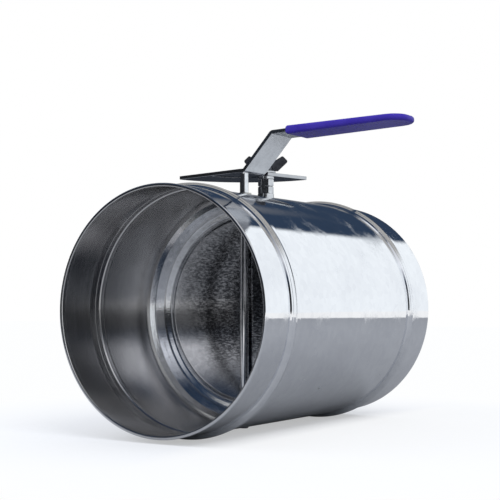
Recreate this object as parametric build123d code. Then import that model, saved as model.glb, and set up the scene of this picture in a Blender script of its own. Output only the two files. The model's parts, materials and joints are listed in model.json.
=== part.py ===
"""Round volume control damper: a butterfly blade in a sheet casing, turned by a slotted sector handle.

Millimetres, +Z up. The origin is the centre of the front rim, +Y runs along the duct to the rear rim
and +X points to the right, which is where the handle points while the blade is closed.
"""
from build123d import *
import os
from math import asin, atan2, cos, degrees, radians, sin, sqrt, tan

# ---- Driving dimensions -------------------------------------------------------------------
# Casing
duct_diameter = 160.0        # outside of the casing and of both spigots
casing_length = 235.0
casing_sheet = 0.8
bead_centre = 32.5           # from each rim to the middle of its rolled bead
bead_width = 9.5
bead_height = 2.8
bead_flank = 2.4             # run of each sloping side of a bead
bead_radius = 0.9
hem_thickness = 2.4          # folded edge of each rim, measured radially
hem_depth = 4.0
seam_width = 9.0             # lap seam along the casing, on the side away from the handle
seam_angle = 205.0           # its place round the duct, from +X towards +Z
seam_end_gap = 4.0           # from each bead to the end of the seam's upper layer

# Spindle and its bearings
spindle_y = 101.0            # from the front rim to the spindle's axis
spindle_diameter = 6.0
spindle_tail = 2.0           # how far the lower end stands out under the casing
spindle_chamfer = 0.5
running_clearance = 0.05     # radial, in each bush and in the wing nut
axial_play = 0.1
bush_barrel = 8.0
bush_flange = 10.0
bush_flange_height = 1.4
bush_depth = 1.7             # from the casing's inner face to the free end of a barrel
thrust_washer_diameter = 10.0
thrust_washer_height = 0.6
clip_diameter = 11.0
clip_height = 0.7
clip_groove = 5.0
clip_mouth = 4.4

# Blade
blade_sheet = 1.0
blade_gap = 1.0              # between the blade's lip and the casing's wall
blade_lip_depth = 7.0        # how far the turned lip reaches forward of the disc's front face
blade_lip_flare = 0.8        # the lip opens by this much towards its edge
blade_lip_root = 3.2         # from the flat annulus to the lip's foot, for the corner's radius
blade_bead_margin = 11.7     # from the blade's edge to the middle of the pressed ring bead
blade_bead_width = 8.5
blade_bead_height = 2.2
blade_notch = 14.0           # width of the notch that clears the bearings, top and bottom
blade_notch_depth = 5.2
blade_screw_pitch = 48.0
blade_screw_count = 3
blade_screw = 3.0
blade_screw_grip = 4.2       # how deep each screw sits in the spindle
blade_screw_head = 5.6
blade_screw_head_height = 2.0
blade_screw_recess = 3.1     # across the cross recess
blade_screw_blade = 0.8      # width of each of its slots
blade_washer = 7.0
blade_washer_height = 0.5
screw_clearance = 0.1

# Handle: a slotted sector with a strip bent up from its right-hand edge
handle_lift = 15.3           # from the casing's crown to the underside of the sector
handle_sheet = 2.4
sector_radius = 64.0
sector_front_angle = 165.0   # direction of the sector's front edge, from +X towards +Y
sector_rear_angle = 77.5     # direction of its rear edge
sector_rear_margin = 1.8     # from the spindle's axis to the rear edge, along +X
sector_corner = 1.5
strip_width = 27.0
strip_washer_gap = 0.2       # from the strip's rear edge to the clamp washer
strip_bend_x = 4.0
strip_rise = 25.0
strip_rise_angle = 48.0
strip_tilt = 2.2             # the grip end climbs by this angle
strip_bend_radius = 2.2      # middle of the sheet
strip_end_x = 122.2
relief_width = 1.5           # bend relief beside the strip
relief_depth_x = 2.5
tenon_diameter = 4.4         # riveted top of the spindle
tenon_clearance = 0.05
rivet_head = 5.8
rivet_head_height = 0.8

# Vinyl grip
grip_start_x = 38.0
grip_side_wall = 1.8
grip_end_wall = 1.8
grip_root_height = 5.8
grip_tip_height = 4.2
grip_edge_radius = 1.4

# Clamp
stud_radius = 27.0           # from the spindle's axis to the stud
stud_angle = 87.5            # direction of the stud from the spindle while the blade is closed
stud_diameter = 6.0
stud_top = 26.0              # above the casing's crown
stud_flange = 12.0
stud_flange_height = 1.5
stud_hole_clearance = 0.1
stud_chamfer = 0.8
slot_clearance = 0.3
travel_angle = 80.0          # swing of the handle from closed to open
slot_end_angle = 1.0         # extra length of the slot at each end
nut_flats = 10.0
nut_height = 5.2
nut_chamfer = 0.6
nut_turn = 12.0              # direction of the nuts' corners
nut_spacing = 0.2            # between the base nut and the support nut
saddle_diameter = 11.5
saddle_height = 2.8
slide_washer_diameter = 12.0
clamp_washer_diameter = 14.0
clamp_washer_height = 1.2
wing_rest_angle = 32.7       # direction of the wings, from +X towards +Y
wing_span = 32.0
wing_height = 11.2
wing_thickness = 2.6
wing_tip_width = 5.6
wing_hub = 11.0
wing_hub_top = 9.0
wing_hub_height = 6.2

# ---- Derived sizes ------------------------------------------------------------------------
casing_radius = duct_diameter / 2
bore_radius = casing_radius - casing_sheet
spindle_radius = spindle_diameter / 2
blade_radius = bore_radius - blade_gap
blade_bead_radius = blade_radius - blade_bead_margin
blade_front = spindle_y + spindle_radius
sector_z = casing_radius + handle_lift
sector_top = sector_z + handle_sheet
stud_x = stud_radius * cos(radians(stud_angle))
stud_y = spindle_y + stud_radius * sin(radians(stud_angle))
slot_width = stud_diameter + 2 * slot_clearance
strip_rear = stud_y - spindle_y - clamp_washer_diameter / 2 - strip_washer_gap
strip_front = strip_width - strip_rear
clamp_base = sector_top + axial_play
wing_base = clamp_base + clamp_washer_height


ON_FACE = (Align.CENTER, Align.CENTER, Align.MIN)


def bore_sag(width):
    """How far the casing's inner face falls across half of a flat of this width."""
    return bore_radius - sqrt(bore_radius**2 - (width / 2) ** 2)


upper_bush_end = bore_radius - bush_depth
lower_bush_top = -bore_radius + bore_sag(bush_flange) + bush_flange_height
upper_clip_top = upper_bush_end - axial_play - thrust_washer_height
lower_clip_low = lower_bush_top + axial_play + thrust_washer_height


def rod(diameter, low, high, x=0.0, y=spindle_y):
    """Upright round bar between two heights."""
    return Pos(x, y, low) * Cylinder(diameter / 2, high - low, align=ON_FACE)


def washer(outer, inner, low, high, x=0.0, y=spindle_y):
    """Upright ring between two heights."""
    return rod(outer, low, high, x, y) - rod(inner, low - 1, high + 1, x, y)


def hex_nut(low, x, y, turn):
    """Hexagonal nut with chamfered corners, on a clear hole of the stud's size."""
    hexagon = Pos(x, y, low) * Rot(0, 0, turn) * RegularPolygon(nut_flats / 2, 6, major_radius=False)
    barrel = rod(2 * nut_flats / sqrt(3), low, low + nut_height, x, y)
    barrel = chamfer(barrel.edges().filter_by(GeomType.CIRCLE), nut_chamfer)
    return (extrude(hexagon, nut_height) & barrel) - rod(stud_diameter, low - 1, low + nut_height + 1, x, y)


# ---- Casing -------------------------------------------------------------------------------
def casing_line(radius):
    """One face of the casing's wall, from rim to rim, in the half plane (radius, y)."""
    half = bead_width / 2
    front = [(0.0, bead_centre - half), (bead_height, bead_centre - half + bead_flank),
             (bead_height, bead_centre + half - bead_flank), (0.0, bead_centre + half)]
    rear = [(rise, casing_length - y) for rise, y in reversed(front)]
    start, end = (0.0, hem_depth / 2), (0.0, casing_length - hem_depth / 2)
    points = [(radius + rise, y) for rise, y in [start, *front, *rear, end]]
    return FilletPolyline(*points, radius=bead_radius)


def build_casing():
    """Beaded shell with hemmed rims, a lap seam, two bearing holes and the stud's hole."""
    outer, inner = casing_line(casing_radius), casing_line(bore_radius)
    wall = make_face([outer, inner, Line(outer @ 0, inner @ 0), Line(outer @ 1, inner @ 1)])
    hem = RectangleRounded(hem_thickness, hem_depth, hem_thickness / 3)
    hem_r = casing_radius - hem_thickness / 2
    section = wall + Pos(hem_r, hem_depth / 2) * hem + Pos(hem_r, casing_length - hem_depth / 2) * hem
    shell = revolve(section, Axis.Y)

    seam_start = bead_centre + bead_width / 2 + seam_end_gap
    seam_length = casing_length - 2 * seam_start
    lap = Pos(casing_radius, casing_length / 2) * Rectangle(2 * casing_sheet, seam_length)
    seam_arc = degrees(seam_width / casing_radius)
    shell += Rot(0, -seam_angle, 0) * revolve(lap, Axis.Y, seam_arc)

    reach = casing_radius + bead_height
    shell -= rod(bush_barrel, -reach, reach)
    shell -= rod(stud_diameter + 2 * stud_hole_clearance, 0, reach, stud_x, stud_y)
    return shell


def build_upper_bush():
    """Flanged bush in the crown: its flange is outside, and the spindle runs in its bore."""
    top = casing_radius + bush_flange_height
    bush = rod(bush_barrel, upper_bush_end, casing_radius) + rod(bush_flange, casing_radius, top)
    return bush - rod(spindle_diameter + 2 * running_clearance, upper_bush_end - 1, top + 1)


def build_lower_bush():
    """Flanged bush in the bottom: its flange is inside, so that only the spindle's end shows."""
    low = -casing_radius - casing_sheet / 2
    seat = lower_bush_top - bush_flange_height
    bush = rod(bush_barrel, low, seat) + rod(bush_flange, seat, lower_bush_top)
    return bush - rod(spindle_diameter + 2 * running_clearance, low - 1, lower_bush_top + 1)


# ---- Spindle ------------------------------------------------------------------------------
def groove_line(low):
    """Side of the spindle past one clip groove whose lower face is at this height."""
    high = low + clip_height
    return [(spindle_radius, low), (clip_groove / 2, low), (clip_groove / 2, high), (spindle_radius, high)]


def build_spindle():
    """Ground bar with two clip grooves, tapped holes for the blade and a riveted top."""
    low = -casing_radius - spindle_tail
    tenon, head = tenon_diameter / 2, rivet_head / 2
    dome_radius = (head**2 + rivet_head_height**2) / (2 * rivet_head_height)
    side = [(0, low), (spindle_radius - spindle_chamfer, low), (spindle_radius, low + spindle_chamfer),
            *groove_line(lower_clip_low), *groove_line(upper_clip_top - clip_height),
            (spindle_radius, sector_z), (tenon, sector_z), (tenon, sector_top), (head, sector_top)]
    dome_centre = sector_top + rivet_head_height - dome_radius
    half_turn = asin(head / dome_radius) / 2
    halfway = (dome_radius * sin(half_turn), dome_centre + dome_radius * cos(half_turn))
    crown = (0, sector_top + rivet_head_height)
    section = make_face([Polyline(*side), ThreePointArc(side[-1], halfway, crown), Line(crown, side[0])])
    bar = Pos(0, spindle_y, 0) * revolve(Plane.XZ * section, Axis.Z)
    hole = Cylinder(blade_screw / 2, 2 * blade_screw_grip, align=ON_FACE)
    for z in screw_heights():
        bar -= Pos(0, spindle_y + spindle_radius - blade_screw_grip, z) * Rot(-90, 0, 0) * hole
    return bar


def build_clip(low):
    """Open retaining clip that snaps into a groove of the spindle."""
    plan = Circle(clip_diameter / 2) - Circle(clip_groove / 2)
    plan -= Pos(0, -clip_diameter / 2) * Rectangle(clip_mouth, clip_diameter)
    return Pos(0, spindle_y, low) * extrude(plan, clip_height)


# ---- Blade --------------------------------------------------------------------------------
def screw_heights():
    """Heights of the screws that hold the blade to the spindle, centred on the duct's axis."""
    first = -blade_screw_pitch * (blade_screw_count - 1) / 2
    return [first + blade_screw_pitch * i for i in range(blade_screw_count)]


def build_blade():
    """Round pan: a disc with a pressed ring bead and a lip turned forward past the spindle."""
    half = blade_bead_width / 2
    flank = blade_bead_height
    foot = blade_radius - blade_sheet - blade_lip_flare
    bead_inside, bead_outside = blade_bead_radius - half, blade_bead_radius + half
    front = [(0.0, 0.0), (bead_inside, 0.0), (bead_inside + flank, blade_bead_height),
             (bead_outside - flank, blade_bead_height), (bead_outside, 0.0),
             (foot, 0.0), (foot + blade_lip_flare, -blade_lip_depth)]
    last = len(front) - 1
    rear = [(r + (blade_sheet if i > 4 else 0.0), y + (0.0 if i == last else blade_sheet))
            for i, (r, y) in enumerate(front)]
    bends = [0.8, 0.8, 0.8, 0.8]
    inner = FilletPolyline(*front, radius=[*bends, blade_lip_root - blade_sheet])
    outer = FilletPolyline(*rear, radius=[*bends, blade_lip_root])
    section = make_face([inner, outer, Line(inner @ 0, outer @ 0), Line(inner @ 1, outer @ 1)])
    blade = Pos(0, blade_front, 0) * revolve(section, Axis.Y)

    depth = blade_lip_depth + 2 * (blade_sheet + blade_bead_height)
    for side in (-1, 1):
        notch = Box(blade_notch, 2 * depth, 2 * blade_notch_depth)
        blade -= Pos(0, blade_front, side * blade_radius) * notch
    hole = Cylinder(blade_screw / 2 + screw_clearance, 4 * blade_sheet)
    for z in screw_heights():
        blade -= Pos(0, blade_front, z) * Rot(90, 0, 0) * hole
    return blade


def build_blade_screws():
    """Pan-head screws driven from behind through the blade into the spindle."""
    seat = blade_front + blade_sheet + blade_washer_height
    tip = spindle_y + spindle_radius - blade_screw_grip
    screw = Cylinder(blade_screw_head / 2, blade_screw_head_height, align=ON_FACE)
    screw = fillet(screw.edges().group_by(Axis.Z)[-1], blade_screw_head_height * 0.4)
    for turn in (0, 90):
        screw -= Pos(0, 0, blade_screw_head_height) * Rot(0, 0, turn) * Box(
            blade_screw_recess, blade_screw_blade, blade_screw_head_height)
    screw += Pos(0, 0, tip - seat) * Cylinder(blade_screw / 2, seat - tip, align=ON_FACE)
    return [Pos(0, seat, z) * Rot(-90, 0, 0) * screw for z in screw_heights()]


def build_blade_washers():
    """One plain washer under each screw head."""
    ring = extrude(Circle(blade_washer / 2) - Circle(blade_screw / 2 + screw_clearance), blade_washer_height)
    return [Pos(0, blade_front + blade_sheet, z) * Rot(-90, 0, 0) * ring for z in screw_heights()]


# ---- Handle -------------------------------------------------------------------------------
def to_arc(start, angle):
    """Point where a straight edge from this start, in this direction, meets the sector's arc."""
    along = Vector(cos(radians(angle)), sin(radians(angle)))
    reach = start.dot(along)
    return start + along * (sqrt(reach**2 - start.length**2 + sector_radius**2) - reach)


def sector_outline():
    """Plan of the sector about the spindle: two straight edges, an arc and the strip's foot."""
    front_corner, rear_foot = Vector(0, -strip_front), Vector(sector_rear_margin, 0)
    left, right = to_arc(front_corner, sector_front_angle), to_arc(rear_foot, sector_rear_angle)
    middle_angle = (atan2(left.Y, left.X) + atan2(right.Y, right.X)) / 2
    middle = Vector(cos(middle_angle), sin(middle_angle)) * sector_radius

    relief_y = strip_rear + relief_width
    rear_x = rear_foot.X + relief_y / tan(radians(sector_rear_angle))
    corners = [right, (rear_x, relief_y), (relief_depth_x, relief_y), (relief_depth_x, strip_rear),
               (0.0, strip_rear), front_corner, left]
    plan = make_face([ThreePointArc(left, middle, right), Polyline(*corners)])
    tips = plan.vertices().sort_by_distance((0, 0, 0))[-2:]
    return fillet(tips, sector_corner)


def strip_path():
    """Middle line of the strip in the upright plane (x, z), with both bends rounded."""
    level = sector_z + handle_sheet / 2
    bend_end = (strip_bend_x + strip_rise / tan(radians(strip_rise_angle)), level + strip_rise)
    end_z = bend_end[1] + (strip_end_x - bend_end[0]) * tan(radians(strip_tilt))
    corners = [(0, level), (strip_bend_x, level), bend_end, (strip_end_x, end_z)]
    return FilletPolyline(*corners, radius=strip_bend_radius)


def strip_plan(width, end_x):
    """Plan of the strip or of its grip: straight sides and a full round end."""
    centre_y = spindle_y + strip_width / 2 - strip_front
    body = Pos((end_x - width / 2) / 2, centre_y) * Rectangle(end_x - width / 2, width)
    return body + Pos(end_x - width / 2, centre_y) * Circle(width / 2)


def build_handle():
    """Sector and strip as one bent sheet, with the spindle's hole and the arc slot."""
    sheet = Pos(0, spindle_y, sector_z) * extrude(sector_outline(), handle_sheet)
    side = Plane(origin=(0, spindle_y - strip_front, 0), x_dir=(1, 0, 0), z_dir=(0, -1, 0))
    bent = extrude(side * trace(strip_path(), handle_sheet), -strip_width)
    bent &= extrude(strip_plan(strip_width, strip_end_x), 2 * sector_z)

    slot_arc = CenterArc((0, 0), stud_radius, stud_angle - slot_end_angle, travel_angle + 2 * slot_end_angle)
    slot = Pos(0, spindle_y, sector_z - 1) * extrude(SlotArc(slot_arc, slot_width), handle_sheet + 2)
    hole = rod(tenon_diameter + 2 * tenon_clearance, sector_z - 1, sector_top + 1)
    return sheet + bent - slot - hole


def build_grip(handle):
    """Dipped vinyl grip: it tapers towards a full round end and holds the strip in its pocket."""
    path_end = strip_path() @ 1
    along = Vector(cos(radians(strip_tilt)), 0, sin(radians(strip_tilt)))
    end_x = strip_end_x + grip_end_wall
    start_z = path_end.Y - (strip_end_x - grip_start_x) * tan(radians(strip_tilt))
    length = (end_x - grip_start_x) / along.X
    taper = (grip_root_height - grip_tip_height) / 2 / length
    overrun = length + grip_root_height
    tip = grip_root_height / 2 - taper * overrun
    width = strip_width + 2 * grip_side_wall
    side = Plane(origin=(grip_start_x, spindle_y, start_z), x_dir=along, z_dir=(0, -1, 0))
    root = grip_root_height / 2
    wedge = Polygon((0, -root), (overrun, -tip), (overrun, tip), (0, root), align=None)
    body = extrude(side * wedge, 2 * width, both=True) & extrude(strip_plan(width, end_x), 2 * sector_z)
    rim = body.edges().filter_by(lambda e: abs(e.tangent_at(0.5).Z) < 0.2)
    return fillet(rim, grip_edge_radius) - handle


# ---- Clamp --------------------------------------------------------------------------------
def build_stud():
    """Welding stud: a thin flange against the inside of the crown and a shank up through the slot."""
    seat = bore_radius - bore_sag(stud_flange + 2 * stud_x)
    shank = rod(stud_diameter, seat, casing_radius + stud_top, stud_x, stud_y)
    shank = chamfer(shank.edges().group_by(Axis.Z)[-1], stud_chamfer)
    return shank + rod(stud_flange, seat - stud_flange_height, seat, stud_x, stud_y)


def build_saddle():
    """Spacer with a hollowed underside that beds on the round casing."""
    low = bore_radius
    block = washer(saddle_diameter, stud_diameter, low, casing_radius + saddle_height, stud_x, stud_y)
    duct = Pos(0, casing_length / 2, 0) * Rot(90, 0, 0) * Cylinder(casing_radius, casing_length)
    return block - duct


def build_wing_nut():
    """Wing nut: a conical hub with two flat wings that rise outwards."""
    hub = Cone(wing_hub / 2, wing_hub_top / 2, wing_hub_height, align=ON_FACE)
    rise = wing_tip_width / sqrt(2)
    tip_x = wing_span / 2
    outline = Polygon((wing_hub_top / 4, 0.3), (tip_x - wing_height + rise, 0.3), (tip_x, wing_height - rise),
                      (tip_x - rise, wing_height), (wing_hub_top / 4, wing_hub_height - 1.0), align=None)
    wing = extrude(Plane.XZ * outline, wing_thickness / 2, both=True)
    tips = wing.edges().filter_by(Axis.Y).sort_by(Axis.X)[-2:]
    wing = fillet(tips, 1.2)
    nut = hub + wing + Rot(0, 0, 180) * wing
    nut -= Cylinder(stud_diameter / 2 + running_clearance, 6 * wing_height)
    return Pos(stud_x, stud_y, wing_base) * Rot(0, 0, wing_rest_angle) * nut


def build_parts():
    """Every piece of the damper under the name of its node."""
    nut_low = casing_radius + saddle_height
    support_low = nut_low + nut_height + nut_spacing
    slide_low = support_low + nut_height
    slide_top = sector_z - axial_play
    handle = build_handle()
    thrust_bore = spindle_diameter + 4 * running_clearance
    clamp_bore = stud_diameter + 4 * running_clearance
    return {
        "casing_shell": build_casing(),
        "upper_bush": build_upper_bush(),
        "lower_bush": build_lower_bush(),
        "clamp_stud": build_stud(),
        "stud_saddle": build_saddle(),
        "base_nut": hex_nut(nut_low, stud_x, stud_y, nut_turn),
        "support_nut": hex_nut(support_low, stud_x, stud_y, nut_turn),
        "slide_washer": washer(slide_washer_diameter, stud_diameter, slide_low, slide_top, stud_x, stud_y),
        "spindle": build_spindle(),
        "upper_thrust_washer": washer(thrust_washer_diameter, thrust_bore, upper_clip_top,
                                      upper_clip_top + thrust_washer_height),
        "lower_thrust_washer": washer(thrust_washer_diameter, thrust_bore,
                                      lower_clip_low - thrust_washer_height, lower_clip_low),
        "upper_clip": build_clip(upper_clip_top - clip_height),
        "lower_clip": build_clip(lower_clip_low),
        "blade": build_blade(),
        "blade_screws": Compound(children=build_blade_screws()),
        "blade_washers": Compound(children=build_blade_washers()),
        "handle_sector": handle,
        "handle_grip": build_grip(handle),
        "clamp_washer": washer(clamp_washer_diameter, clamp_bore, clamp_base, wing_base, stud_x, stud_y),
        "wing_nut": build_wing_nut(),
    }


def main():
    """Build each piece and write it as a STEP file."""
    os.makedirs("parts", exist_ok=True)
    for name, shape in build_parts().items():
        export_step(shape, f"parts/{name}.step")


main()
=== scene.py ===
"""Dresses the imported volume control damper: its surfaces and finishes, a studio and the camera."""
import json
import logging
import math
from dataclasses import dataclass
from enum import Enum
from typing import Sequence

import bmesh
import bpy
from mathutils import Matrix, Vector


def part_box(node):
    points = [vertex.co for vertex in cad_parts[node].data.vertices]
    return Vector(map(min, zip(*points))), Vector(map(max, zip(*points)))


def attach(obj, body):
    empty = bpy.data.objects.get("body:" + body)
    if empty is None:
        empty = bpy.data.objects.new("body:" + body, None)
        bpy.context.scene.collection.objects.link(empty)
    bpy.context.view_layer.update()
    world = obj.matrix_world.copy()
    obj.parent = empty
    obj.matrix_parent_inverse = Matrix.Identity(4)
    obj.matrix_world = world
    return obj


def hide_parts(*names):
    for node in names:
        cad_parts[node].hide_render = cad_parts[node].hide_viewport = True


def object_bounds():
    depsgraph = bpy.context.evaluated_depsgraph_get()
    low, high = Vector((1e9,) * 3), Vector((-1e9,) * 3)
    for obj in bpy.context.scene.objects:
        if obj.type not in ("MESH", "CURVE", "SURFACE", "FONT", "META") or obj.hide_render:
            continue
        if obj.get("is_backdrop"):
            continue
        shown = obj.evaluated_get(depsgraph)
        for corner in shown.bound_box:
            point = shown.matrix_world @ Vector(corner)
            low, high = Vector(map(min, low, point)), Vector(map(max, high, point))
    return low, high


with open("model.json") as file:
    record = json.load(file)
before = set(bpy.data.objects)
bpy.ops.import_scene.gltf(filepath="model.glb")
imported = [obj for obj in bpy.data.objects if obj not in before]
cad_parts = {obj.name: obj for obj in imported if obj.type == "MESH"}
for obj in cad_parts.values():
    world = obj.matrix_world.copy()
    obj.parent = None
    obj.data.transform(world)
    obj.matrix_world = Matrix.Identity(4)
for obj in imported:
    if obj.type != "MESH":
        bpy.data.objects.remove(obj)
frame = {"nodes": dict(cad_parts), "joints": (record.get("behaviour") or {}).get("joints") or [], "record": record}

logging.basicConfig(level=logging.INFO, format="%(message)s")
log = logging.getLogger("damper")
Socket = bpy.types.NodeSocket
Piece = bpy.types.Object
Outline = list[tuple[float, float]]
Corner = tuple[float, float, float]

# In metres: a millimetre, the gaps that are closed in a new piece and in a CAD node, edges that are dropped
MM, WELD, CAD_WELD, SLIVER = 0.001, 2e-6, 1e-6, 1e-7
# Angles between faces: those of one flat, edges to ease and edges that stay sharp
FLAT_ANGLE, EASE_ANGLE, SHARP_ANGLE = (math.radians(angle) for angle in (0.5, 30.0, 40.0))
# Pieces in a full turn of the casing and the blade
DUCT_SEGMENTS = 256


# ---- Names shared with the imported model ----


class Body(Enum):
    """Rigid bodies of the damper that a piece can ride on."""

    CASING = "casing"
    ROTOR = "rotor"
    CLAMP = "clamp"


class Axis(Enum):
    """Direction in which a turned piece's axis points."""

    UPRIGHT = (0.0, 0.0, 0.0)
    ALONG_DUCT = (-math.pi / 2, 0.0, 0.0)


def named(entries: Sequence[dict], name: str) -> dict:
    """Returns the mount or joint of this name."""
    return next(entry for entry in entries if entry["name"] == name)


# ---- Node helpers ----


class Tree:
    """A node tree under construction, with short calls to add and link nodes."""

    def __init__(self, tree: bpy.types.NodeTree) -> None:
        """Keeps the tree of a material, world or Geometry Nodes group that the calls add to."""
        self.tree = tree

    def add(self, kind: str, inputs: dict | None = None, **settings: object) -> bpy.types.Node:
        """Adds one node.

        Args:
            kind: Blender's identifier of the node.
            inputs: Socket name or number to a value or an output socket.
            settings: Properties of the node.

        Returns:
            The new node.
        """
        node = self.tree.nodes.new(kind)
        for name, value in settings.items():
            setattr(node, name, value)
        for key, value in (inputs or {}).items():
            if isinstance(value, Socket):
                self.tree.links.new(value, node.inputs[key])
            else:
                node.inputs[key].default_value = value
        return node

    def math(self, operation: str, *values: object) -> Socket:
        """Returns what Blender's Math operation of this name makes of numbers or sockets."""
        return self.add("ShaderNodeMath", dict(enumerate(values)), operation=operation).outputs[0]

    def times(self, first: object, second: object) -> Socket:
        """Returns the product of two numbers or sockets."""
        return self.math("MULTIPLY", first, second)

    def ramp(self, factor: Socket, low: float, high: float,
             to_low: float = 0.0, to_high: float = 1.0) -> Socket:
        """Maps a value from one range to another, clamped.

        Args:
            factor: Value to map.
            low: Value that gives to_low.
            high: Value that gives to_high.
            to_low: Result at low.
            to_high: Result at high.

        Returns:
            The mapped value.
        """
        node = self.add("ShaderNodeMapRange", {"Value": factor, "From Min": low, "From Max": high,
                                               "To Min": to_low, "To Max": to_high})
        return node.outputs["Result"]

    def noise(self, place: Socket, scale: float, detail: float, roughness: float = 0.5) -> Socket:
        """Returns noise around 0.5, with its scale as features in one unit of the coordinates."""
        inputs = {"Vector": place, "Scale": scale, "Detail": detail, "Roughness": roughness}
        return self.add("ShaderNodeTexNoise", inputs).outputs[0]

    def stretch(self, place: Socket, scale: tuple) -> Socket:
        """Returns coordinates multiplied along each axis."""
        return self.add("ShaderNodeMapping", {"Vector": place, "Scale": scale}).outputs[0]

    def bump(self, height: Socket, strength: float, distance: float,
             normal: Socket | None = None) -> Socket:
        """Adds a Bump node.

        Args:
            height: Height of the relief, from 0 to 1.
            strength: Share of the relief that shows.
            distance: Depth of the full relief in metres.
            normal: Normal of another relief under this one.

        Returns:
            The bent normal.
        """
        inputs = {"Strength": strength, "Distance": distance, "Height": height}
        if normal is not None:
            inputs["Normal"] = normal
        return self.add("ShaderNodeBump", inputs).outputs[0]

    def blend(self, share: Socket, first: Socket, second: Socket) -> Socket:
        """Returns a number that goes from the first to the second as the share goes from 0 to 1."""
        rest = self.math("SUBTRACT", 1.0, share)
        return self.math("ADD", self.times(first, rest), self.times(second, share))

    def metal(self, colour: Socket, rough: Socket, normal: Socket) -> Socket:
        """Returns a metal's shader."""
        inputs = {"Base Color": colour, "Metallic": 1.0, "Roughness": rough, "Normal": normal}
        return self.add("ShaderNodeBsdfPrincipled", inputs).outputs[0]

    def distance(self, place: Socket, centre: tuple) -> Socket:
        """Returns the distance of coordinates from a point."""
        node = self.add("ShaderNodeVectorMath", {0: place, 1: centre}, operation="DISTANCE")
        return node.outputs["Value"]

    def mix(self, factor: object, first: object, second: object) -> Socket:
        """Returns a colour that goes from the first to the second as the factor goes from 0 to 1."""
        node = self.add("ShaderNodeMix", {0: factor, 6: first, 7: second}, data_type="RGBA")
        return node.outputs[2]


def empty_tree(owner: bpy.types.ID) -> Tree:
    """Clears the nodes of a material or world.

    Args:
        owner: Material or world.

    Returns:
        Its empty tree.
    """
    owner.use_nodes = True
    owner.node_tree.nodes.clear()
    return Tree(owner.node_tree)


def rgb(red: float, green: float, blue: float) -> tuple[float, float, float, float]:
    """Returns a colour with full opacity from its linear channels."""
    return (red, green, blue, 1.0)


# ---- Finishes ----


@dataclass(frozen=True)
class Finish:
    """A surface finish that can be made into a material once and used again."""

    name: str

    def material(self) -> bpy.types.Material:
        """Makes the finish's material at the first call.

        Returns:
            The material, the same one at each call.
        """
        found = bpy.data.materials.get("finish_" + self.name)
        if found:
            return found
        made = bpy.data.materials.new("finish_" + self.name)
        tree = empty_tree(made)
        tree.add("ShaderNodeOutputMaterial", {"Surface": self.shade(tree)})
        return made

    def shade(self, tree: Tree) -> Socket:
        """Returns the shader that the finish's nodes make; each kind of finish has its own."""
        raise NotImplementedError


@dataclass(frozen=True)
class ZincSheet(Finish):
    """Zinc-coated sheet: bright metal with crystal spangle, rolling streaks and hazy patches.

    Its patterns are sized as features in a metre, and a polish is the least and the most roughness. The
    side that faces the duct's middle may have a duller one, and then a darker, warmer colour that is
    painted shade inside the duct.
    """

    light: tuple = rgb(0.90, 0.91, 0.93)
    dark: tuple = rgb(0.78, 0.79, 0.82)
    spangle: float = 240.0
    spangle_share: float = 0.4
    streak: tuple = (30.0, 800.0, 30.0)
    streak_share: float = 0.6
    cloud: float = 26.0
    cloud_span: tuple = (0.35, 0.75)
    polish: tuple = (0.02, 0.06)
    polish_span: tuple = (0.35, 0.65)
    bore_polish: tuple | None = None
    # Multiplies the colour of the faces towards the axis: painted shade inside the duct
    bore_painted_shade: tuple = rgb(0.725, 0.705, 0.680)
    patch: float = 34.0
    patch_span: tuple = (0.50, 0.66)
    haze: float = 0.24
    relief: float = 0.03
    relief_depth: float = 0.0004
    wave: float = 0.03
    wave_depth: float = 0.003

    def tint(self, tree: Tree, place: Socket, colour: Socket) -> Socket:
        """Returns the sheet's colour with its own darkening; a plain sheet has none."""
        return colour

    def facing_axis(self, tree: Tree, coordinates: bpy.types.NodeOutputs) -> Socket:
        """Finds the faces that look towards the duct's axis.

        Args:
            tree: Tree to build in.
            coordinates: Outputs of a Texture Coordinate node.

        Returns:
            1 on such a face and 0 elsewhere.
        """
        radial = tree.add("ShaderNodeVectorMath", {0: coordinates["Object"], 1: (1.0, 0.0, 1.0)},
                          operation="MULTIPLY").outputs[0]
        outward = tree.add("ShaderNodeVectorMath", {0: radial, 1: coordinates["Normal"]},
                           operation="DOT_PRODUCT").outputs["Value"]
        return tree.math("LESS_THAN", outward, 0.0)

    def shade(self, tree: Tree) -> Socket:
        """Builds the sheet's nodes from object coordinates.

        Args:
            tree: Tree to build in.

        Returns:
            The shader's output.
        """
        coordinates = tree.add("ShaderNodeTexCoord").outputs
        place = coordinates["Object"]
        cells = tree.add("ShaderNodeTexVoronoi", {"Vector": place, "Scale": self.spangle})
        crystal = tree.add("ShaderNodeSeparateColor", {0: cells.outputs["Color"]}).outputs[0]
        streaks = tree.noise(tree.stretch(place, self.streak), 1.0, 6.0, 0.65)
        clouds = tree.noise(place, self.cloud, 5.0)
        patches = tree.noise(place, self.patch, 9.0, 0.72)
        stains = tree.ramp(clouds, *self.cloud_span, 0.0, 1.0 - self.spangle_share)
        share = tree.math("ADD", tree.times(crystal, self.spangle_share), stains)
        colour = self.tint(tree, place, tree.mix(share, self.light, self.dark))
        worn = tree.math("ADD", tree.times(streaks, self.streak_share),
                         tree.times(clouds, 1.0 - self.streak_share))
        rough = tree.ramp(worn, *self.polish_span, *self.polish)
        rough = tree.math("ADD", rough, tree.ramp(patches, *self.patch_span, 0.0, self.haze))
        if self.bore_polish:
            inside = self.facing_axis(tree, coordinates)
            rough = tree.blend(inside, rough, tree.ramp(worn, *self.polish_span, *self.bore_polish))
            # The bore's colour is multiplied darker and warmer here: painted shade for the inside of the duct
            shaded = tree.add("ShaderNodeMix", {0: 1.0, 6: colour, 7: self.bore_painted_shade}, data_type="RGBA",
                              blend_type="MULTIPLY").outputs[2]
            colour = tree.mix(inside, colour, shaded)
        fine = tree.bump(streaks, self.relief, self.relief_depth)
        normal = tree.bump(clouds, self.wave, self.wave_depth, fine)
        return tree.metal(colour, rough, normal)


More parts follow.
